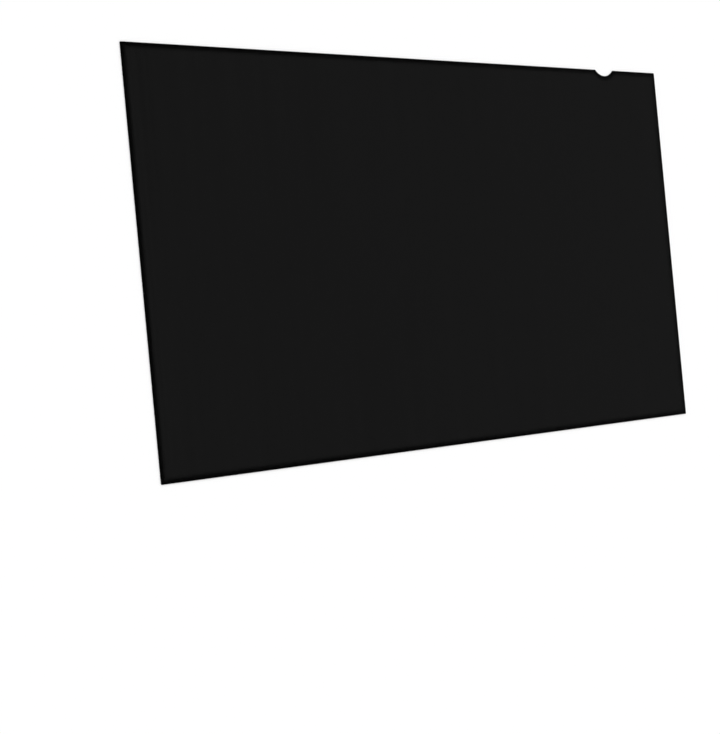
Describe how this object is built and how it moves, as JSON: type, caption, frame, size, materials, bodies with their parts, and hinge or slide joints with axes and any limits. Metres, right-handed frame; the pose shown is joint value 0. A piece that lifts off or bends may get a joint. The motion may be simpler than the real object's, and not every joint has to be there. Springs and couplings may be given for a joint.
{
  "type": "monitor privacy filter",
  "caption": "Flat rectangular sheet of dark, see-through louvre film that covers a wide screen and narrows its viewing angle, with a shallow finger notch in the top edge to lift it off by.",
  "frame": {"origin": "middle of the back face, the face that lies on the table or against the screen", "axes": "+X to the right along the screen, +Y to the top edge with the notch, +Z out of the front face towards the user"},
  "size_m": [0.531, 0.299, 0.0005],
  "materials": {
    "louvre_film": "satin"
  },
  "bodies": {
    "root": {"filter_sheet": "louvre_film"}
  },
  "joints": []
}
